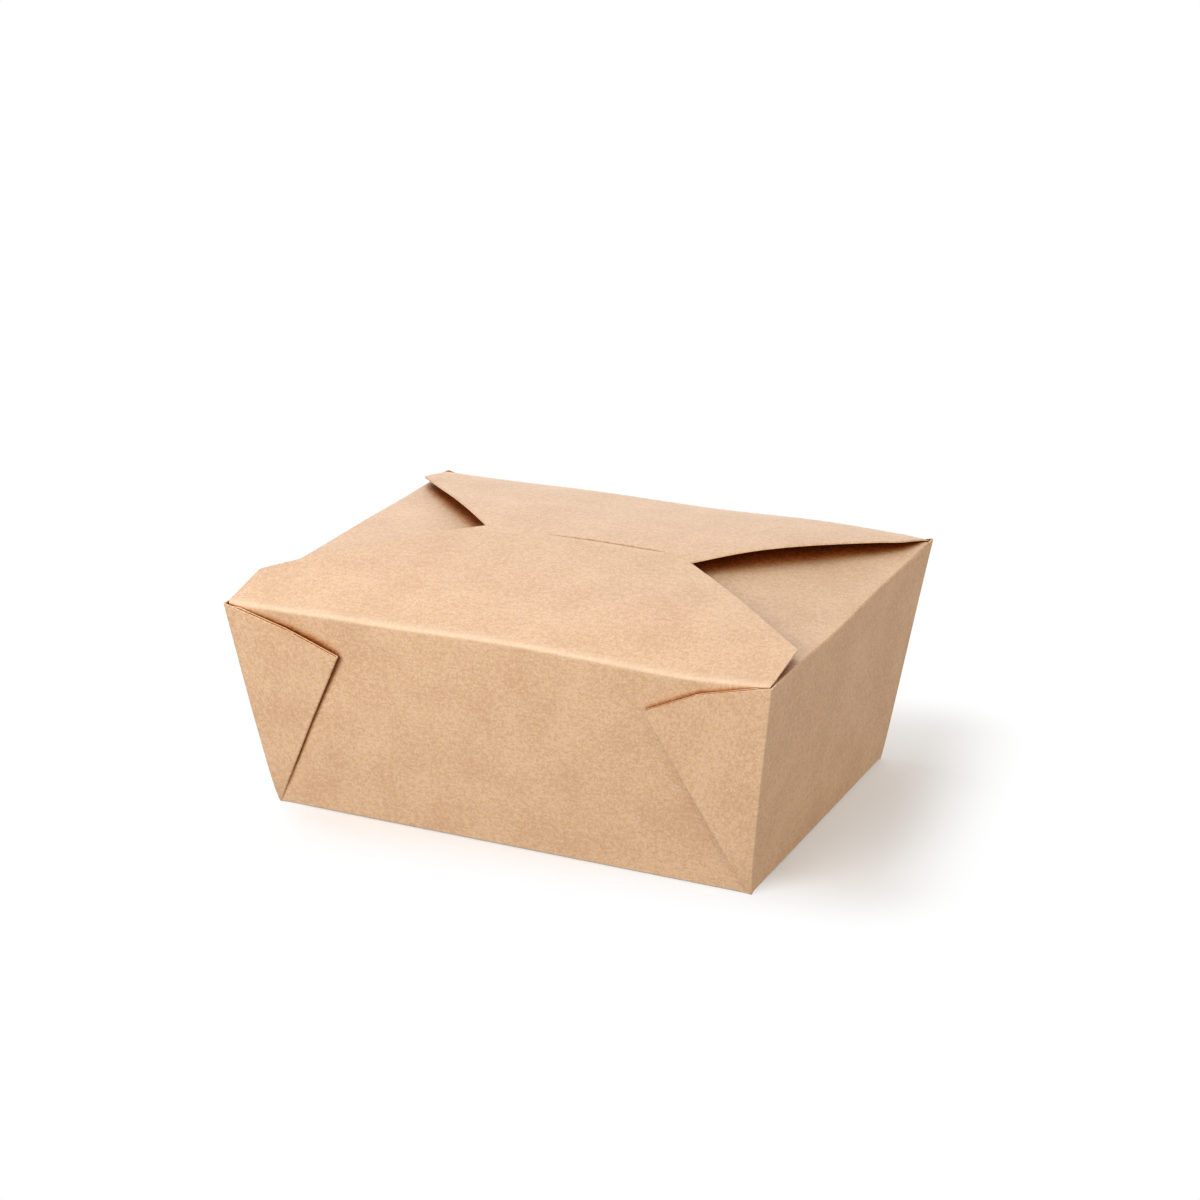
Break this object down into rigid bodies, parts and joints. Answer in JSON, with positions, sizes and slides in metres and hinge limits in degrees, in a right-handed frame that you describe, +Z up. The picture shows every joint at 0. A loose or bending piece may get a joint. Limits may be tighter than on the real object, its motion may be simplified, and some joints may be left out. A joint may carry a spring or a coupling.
{
  "type": "takeaway box",
  "caption": "Folded kraft board takeaway box with flared walls, folded web corners and an arched lid; the front flap hinges at the rim and tucks a tongue into a slit.",
  "frame": {"origin": "middle of the base's underside, on the surface that the box stands on", "axes": "+X along the box's length, +Y from the front flap's wall to the back flap's wall, +Z up"},
  "size_m": [0.171, 0.1399, 0.0768],
  "materials": {
    "kraft_board": "uncoated unbleached kraft outside, thin grease-proof coating inside, matt"
  },
  "bodies": {
    "carton": {"carton": "kraft_board"},
    "front_flap": {"front_flap": "kraft_board"}
  },
  "joints": [
    {"name": "front_flap_hinge", "type": "hinge", "parent": "carton", "child": "front_flap", "pos_m": [0, -0.06809, 0.068], "axis": [1, 0, 0], "range_deg": [0, 170]}
  ]
}
